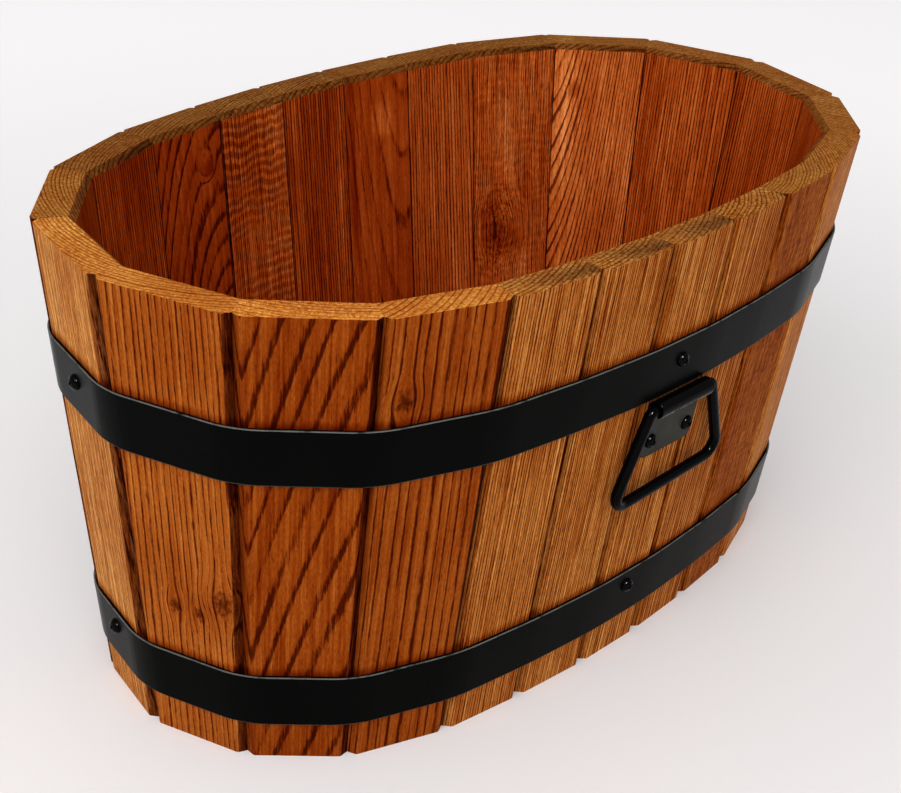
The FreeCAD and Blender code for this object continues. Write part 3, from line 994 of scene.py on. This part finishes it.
class PLANTER_OT_hoops(bpy.types.Operator):
    """Rounds the edges of the hoops and paints them"""
    bl_idname = "planter.hoops"
    bl_label = "Hoops"

    def execute(self, context):
        steel = context.scene.planter_steel
        material = paint_material("hoop_paint", steel.hoop_colour, dust=0.004, sheen=0.20, gloss=0.018)
        for node in HOOPS:
            bm = eased_copy(node)
            soften_bends(bm, steel.hoop_bend)
            edges = [edge for edge in sharp_edges(bm, HOOP_FOLD)
                     if any(abs(face.normal.z) > ALONG for face in edge.link_faces)
                     and any(looks_out(face) > HOOP_OUT for face in edge.link_faces)]
            round_edges(bm, edges, steel.hoop_round, 3, clamp=False)
            mark_highlight_and_dust(bm, hoop_edge_highlight)
            new_piece(bm, "painted_" + node, "tub", material, [node])
        return {"FINISHED"}


# The lip of a plate's knuckle: its least distance from the wall, how far it lies below the hinge, and how
# far it looks down
LIP_FROM = 5.5 * MM
LIP_DROP = 2.0 * MM
LIP_TILT = 0.45

# Edges of a plate that are rounded fold by more than this angle, and its flat looks out by this share
PLATE_FOLD = radians(50)
PLATE_OUT = 0.95

# The rod's ends from the middle of the knuckle, its sides, and the steps of each bend
ROD_END = 2 * MM
ROD_SIDES = 28
ROD_BEND_STEPS = 10


def hinge_place(bail):
    return Vector(next(joint["pos_m"] for joint in frame["joints"] if joint["child"] == bail))


def plate_highlight_and_dust(face, wall, hinge_level):
    """The lip of the rolled knuckle takes a painted highlight, and the flat of the plate is dusty."""
    facing = wall.to_3x3() @ face.normal
    middle = wall @ face.calc_center_median()
    lip = facing.y < -LIP_TILT and middle.z > LIP_FROM and middle.y < hinge_level - LIP_DROP
    return float(lip), float(facing.z > PLATE_OUT and middle.z < LIP_FROM)


def bent_rod(bail, stave, steel):
    """Round rod along the bail's outline, swung round its bends, against the wall under its knuckle."""
    shoulder = steel.bail_shoulder
    foot = shoulder + steel.bail_splay
    askew = Matrix.Rotation(steel.bail_askew, 3, "Z")
    feet = [askew @ Vector((side * foot, -steel.bail_drop, 0)) for side in (1, -1)]
    corners = [Vector((ROD_END, 0, 0)), Vector((shoulder, 0, 0)), *feet, Vector((-shoulder, 0, 0)),
               Vector((-ROD_END, 0, 0))]
    bends = [0, steel.shoulder_bend, steel.foot_bend, steel.foot_bend, steel.shoulder_bend, 0]
    bm = bmesh.new()
    ring = bmesh.ops.create_circle(bm, segments=ROD_SIDES, radius=steel.rod / 2)["verts"]
    bmesh.ops.rotate(bm, verts=ring, matrix=Matrix.Rotation(pi / 2, 3, "Y"))
    bmesh.ops.translate(bm, verts=ring, vec=corners[0])
    last = list(bm.edges)
    place = corners[0]
    axis = Vector((0, 0, -1))
    for index in range(1, len(corners)):
        corner = corners[index]
        heading = (corner - corners[index - 1]).normalized()
        stop = corner
        if bends[index]:
            turn = heading.angle(corners[index + 1] - corner)
            stop = corner - heading * bends[index] * tan(turn / 2)
        grown = bmesh.ops.extrude_edge_only(bm, edges=last)["geom"]
        moved = picked(grown, bmesh.types.BMVert)
        bmesh.ops.translate(bm, verts=moved, vec=stop - place)
        last = [edge for edge in picked(grown, bmesh.types.BMEdge)
                if all(vert in moved for vert in edge.verts)]
        place = stop
        if bends[index]:
            centre = place + axis.cross(heading) * bends[index]
            swung = bmesh.ops.spin(bm, geom=last + moved, cent=centre, axis=axis, angle=turn,
                                   steps=ROD_BEND_STEPS, use_merge=False)
            last = picked(swung["geom_last"], bmesh.types.BMEdge)
            place = Matrix.Translation(centre) @ Matrix.Rotation(turn, 4, axis) @ (place - centre)
    bmesh.ops.holes_fill(bm, edges=[edge for edge in bm.edges if edge.is_boundary])
    bmesh.ops.recalc_face_normals(bm, faces=bm.faces)
    wall = stave_place(stave).to_3x3().to_4x4()
    bmesh.ops.transform(bm, matrix=Matrix.Translation(hinge_place(bail)) @ wall, verts=bm.verts)
    return bm


class PLANTER_OT_handles(bpy.types.Operator):
    """Makes the rolled plates and the bent bails of the handles"""
    bl_idname = "planter.handles"
    bl_label = "Handles"

    def execute(self, context):
        steel = context.scene.planter_steel
        material = paint_material("handle_paint", steel.handle_colour, dust=0.002, sheen=0.02, gloss=0.035)
        for side, stave in HANDLE_STAVES.items():
            plate, bail = side + "_handle_plate", side + "_bail"
            wall = stave_place(stave).inverted()
            bm = eased_copy(plate)
            round_edges(bm, sharp_edges(bm, PLATE_FOLD), steel.plate_round, 2, clamp=False)
            mark_highlight_and_dust(bm, plate_highlight_and_dust, wall, (wall @ hinge_place(bail)).y)
            new_piece(bm, "painted_" + plate, "tub", material, [plate])
            rod = bent_rod(bail, stave, steel)
            new_piece(rod, "bent_" + bail, bail, material, [bail])
        return {"FINISHED"}


# Outline of a screw from the crown of its head to its point, as radius and height in mm
SCREW_OUTLINE = [(0.0, 2.8), (1.1, 2.74), (2.1, 2.5), (3.0, 2.0), (3.6, 1.35), (3.95, 0.55), (3.95, 0.0),
                 (2.0, 0.0), (2.0, -12.0), (0.0, -17.0)]
SCREW_STEPS = 24

# Cross recess: its depth, how far its arms and its middle reach, and how high the faces lie that it takes in
RECESS_DEPTH = 1.3 * MM
RECESS_REACH = 2.15 * MM
RECESS_MIDDLE = RECESS_REACH / 2.6
CROWN_FROM = 1.0 * MM

# How far the first screw of each set is turned, and each after it, in degrees
SCREW_TURN, SCREW_TURN_STEP = 12, 37


def screw_seats(node):
    """Frames of a node's screws: z out of the wall, from under the head."""
    bm = eased_copy(node)
    left = set(bm.verts)
    seats = []
    for first in bm.verts:
        if first not in left:
            continue
        left.remove(first)
        island = [first]
        for vert in island:
            for edge in vert.link_edges:
                other = edge.other_vert(vert)
                if other in left:
                    left.remove(other)
                    island.append(other)
        points = numpy.array([vert.co for vert in island])
        centre = points.mean(axis=0)
        axis = Vector(numpy.linalg.eigh(numpy.cov((points - centre).T))[1][:, 2])
        if axis.dot(Vector((centre[0], centre[1], 0))) < 0:
            axis = -axis
        crown = max(axis.dot(Vector(point) - Vector(centre)) for point in points)
        seat = Vector(centre) + axis * (crown - SCREW_OUTLINE[0][1] * MM)
        across = UP.cross(axis).normalized()
        seats.append(frame_at(seat, across, axis.cross(across), axis))
    bm.free()
    return seats


def add_screw(bm, seat):
    """Turns one screw from its outline, sinks the cross recess and puts it in its seat."""
    screw = bmesh.new()
    verts = [screw.verts.new((radius * MM, 0, height * MM)) for radius, height in SCREW_OUTLINE]
    edges = [screw.edges.new(pair) for pair in zip(verts, verts[1:])]
    bmesh.ops.spin(screw, geom=verts + edges, cent=(0, 0, 0), axis=(0, 0, 1), angle=2 * pi,
                   steps=SCREW_STEPS, use_merge=True)
    bmesh.ops.remove_doubles(screw, verts=screw.verts, dist=SAME_CORNER)
    bmesh.ops.recalc_face_normals(screw, faces=screw.faces)
    cross = []
    for face in screw.faces:
        middle = face.calc_center_median()
        sector = int(round((atan2(middle.y, middle.x) / (2 * pi)) * SCREW_STEPS - 0.5)) % SCREW_STEPS
        arm = sector % (SCREW_STEPS // 4) in (0, SCREW_STEPS // 4 - 1)
        reach = RECESS_REACH if arm else RECESS_MIDDLE
        if middle.z > CROWN_FROM and hypot(middle.x, middle.y) < reach:
            cross.append(face)
    sunk = bmesh.ops.extrude_face_region(screw, geom=cross)["geom"]
    moved = picked(sunk, bmesh.types.BMVert)
    bmesh.ops.delete(screw, geom=cross, context="FACES_ONLY")
    bmesh.ops.translate(screw, verts=moved, vec=(0, 0, -RECESS_DEPTH))
    bmesh.ops.recalc_face_normals(screw, faces=screw.faces)
    bmesh.ops.transform(screw, matrix=seat, verts=screw.verts)
    mesh = bpy.data.meshes.new("screw")
    screw.to_mesh(mesh)
    screw.free()
    bm.from_mesh(mesh)
    bpy.data.meshes.remove(mesh)


class PLANTER_OT_screws(bpy.types.Operator):
    """Puts a domed, cross-recessed screw in every seat"""
    bl_idname = "planter.screws"
    bl_label = "Screws"

    def execute(self, context):
        steel = context.scene.planter_steel
        material = paint_material("screw_black", steel.handle_colour, dust=0.002, sheen=0.04, gloss=0.05)
        for node in SCREW_GROUPS:
            bm = bmesh.new()
            for number, seat in enumerate(screw_seats(node)):
                turn = radians(SCREW_TURN + SCREW_TURN_STEP * number)
                add_screw(bm, seat @ Matrix.Rotation(turn, 4, "Z"))
            new_piece(bm, "domed_" + node, "tub", material, [node], smooth=radians(40))
        return {"FINISHED"}


# Lamps: place, and width and height, in metres. They point at a spot inside the tub.
SIDE_LIGHT = (-1.45, -0.75, 1.6), (1.6, 1.4)
GLINT_LIGHT = (-0.9, -1.6, 1.9), (0.5, 0.5)
LIT_SPOT = Vector((0, 0, 0.1))

# The floor in metres: half its width, and between which distances from the tub its lift grows
FLOOR_HALF_WIDTH = 6.0
LIFT_FROM, LIFT_TO = 0.35, 1.1

# The share of the lift near the tub, kept low there to paint shade onto the floor round the tub, and how much
# it grows
LIFT_LEAST, LIFT_GAIN = 0.65, 0.95

# Width of the camera's sensor, in mm
SENSOR_WIDTH = 36.0


class PLANTER_OT_stage(bpy.types.Operator):
    """Lays the pale floor and sets the light and the camera"""
    bl_idname = "planter.stage"
    bl_label = "Stage"

    def execute(self, context):
        view = context.scene.planter_view
        context.scene.view_settings.view_transform = "Standard"
        self.lay_floor(context, view)
        self.light(context, view)
        self.aim(context, view)
        return {"FINISHED"}

    def lay_floor(self, context, view):
        bm = bmesh.new()
        bmesh.ops.create_grid(bm, x_segments=4, y_segments=4, size=FLOOR_HALF_WIDTH)
        mesh = bpy.data.meshes.new("floor")
        bm.to_mesh(mesh)
        bm.free()
        floor = bpy.data.objects.new("floor", mesh)
        context.scene.collection.objects.link(floor)
        material, tree, shader = new_material("pale_floor")
        ray = add(tree, "ShaderNodeLightPath").outputs
        camera, glossy, through = (
            Wire(tree, ray["Is %s Ray" % kind]) for kind in ("Camera", "Glossy", "Transmission"))
        away = vector_length(source(tree, "ShaderNodeTexCoord", "Object"))
        # Painted shade: the floor glows less near the tub, deepening its shadow there
        lift = (step(away, LIFT_FROM, LIFT_TO) * LIFT_GAIN + LIFT_LEAST) * view.floor_lift
        colour = opaque(view.floor_colour)
        looks = {"Base Color": colour, "Roughness": 0.9, "Specular IOR Level": 0.1,
                 "Emission Color": colour, "Emission Strength": (camera + glossy + through) * lift}
        for socket, value in looks.items():
            plug(value, shader.inputs[socket])
        mesh.materials.append(material)

    def light(self, context, view):
        world = bpy.data.worlds.new("studio")
        context.scene.world = world
        world.use_nodes = True
        tree = world.node_tree
        tree.nodes.clear()
        seen = source(tree, "ShaderNodeLightPath", "Is Camera Ray")
        bright = seen * (view.backdrop - view.sky) + view.sky
        back = add(tree, "ShaderNodeBackground", {"Color": (1, 1, 1, 1), "Strength": bright})
        output = tree.nodes.new("ShaderNodeOutputWorld")
        tree.links.new(back.outputs[0], output.inputs["Surface"])
        self.hang_lamp(context, "side_light", *SIDE_LIGHT, view.key)
        glint = self.hang_lamp(context, "glint_light", *GLINT_LIGHT, view.glint)
        glint.visible_diffuse = False

    def hang_lamp(self, context, name, place, size, power):
        lamp = bpy.data.lights.new(name, "AREA")
        lamp.shape = "RECTANGLE"
        lamp.size, lamp.size_y = size
        lamp.energy = power
        made = bpy.data.objects.new(name, lamp)
        made.location = place
        made.rotation_euler = (LIT_SPOT - made.location).to_track_quat("-Z", "Y").to_euler()
        context.scene.collection.objects.link(made)
        return made

    def aim(self, context, view):
        back = Vector((sin(view.azimuth) * cos(view.elevation), -cos(view.azimuth) * cos(view.elevation),
                       sin(view.elevation)))
        level = UP.cross(back).normalized()
        rise = back.cross(level)
        right = level * cos(view.roll) + rise * sin(view.roll)
        up = rise * cos(view.roll) - level * sin(view.roll)
        data = bpy.data.cameras.new("camera")
        data.sensor_fit = "HORIZONTAL"
        data.sensor_width = SENSOR_WIDTH
        data.lens = view.lens
        camera = bpy.data.objects.new("camera", data)
        camera.matrix_world = frame_at(Vector(view.target) + back * view.distance, right, up, back)
        context.scene.collection.objects.link(camera)
        context.scene.camera = camera


class PLANTER_PT_panel(bpy.types.Panel):
    """Settings and makers of the planter"""
    bl_idname = "PLANTER_PT_panel"
    bl_label = "Planter"
    bl_space_type = "VIEW_3D"
    bl_region_type = "UI"
    bl_category = "Planter"

    def draw(self, context):
        for settings in (context.scene.planter_oak, context.scene.planter_steel, context.scene.planter_view):
            box = self.layout.box()
            for name in settings.__annotations__:
                box.prop(settings, name)
        for maker in MAKERS:
            self.layout.operator(maker.bl_idname)


MAKERS = (PLANTER_OT_staves, PLANTER_OT_floor_boards, PLANTER_OT_hoops, PLANTER_OT_handles,
          PLANTER_OT_screws, PLANTER_OT_stage)
CLASSES = (OakSettings, SteelSettings, ViewSettings) + MAKERS + (PLANTER_PT_panel,)


def register():
    for kind in CLASSES:
        bpy.utils.register_class(kind)
    bpy.types.Scene.planter_oak = bpy.props.PointerProperty(type=OakSettings)
    bpy.types.Scene.planter_steel = bpy.props.PointerProperty(type=SteelSettings)
    bpy.types.Scene.planter_view = bpy.props.PointerProperty(type=ViewSettings)


def unregister():
    del bpy.types.Scene.planter_view
    del bpy.types.Scene.planter_steel
    del bpy.types.Scene.planter_oak
    for kind in reversed(CLASSES):
        bpy.utils.unregister_class(kind)


def main():
    register()
    bpy.ops.planter.staves()
    bpy.ops.planter.floor_boards()
    bpy.ops.planter.hoops()
    bpy.ops.planter.handles()
    bpy.ops.planter.screws()
    bpy.ops.planter.stage()


if __name__ == "__main__":
    main()
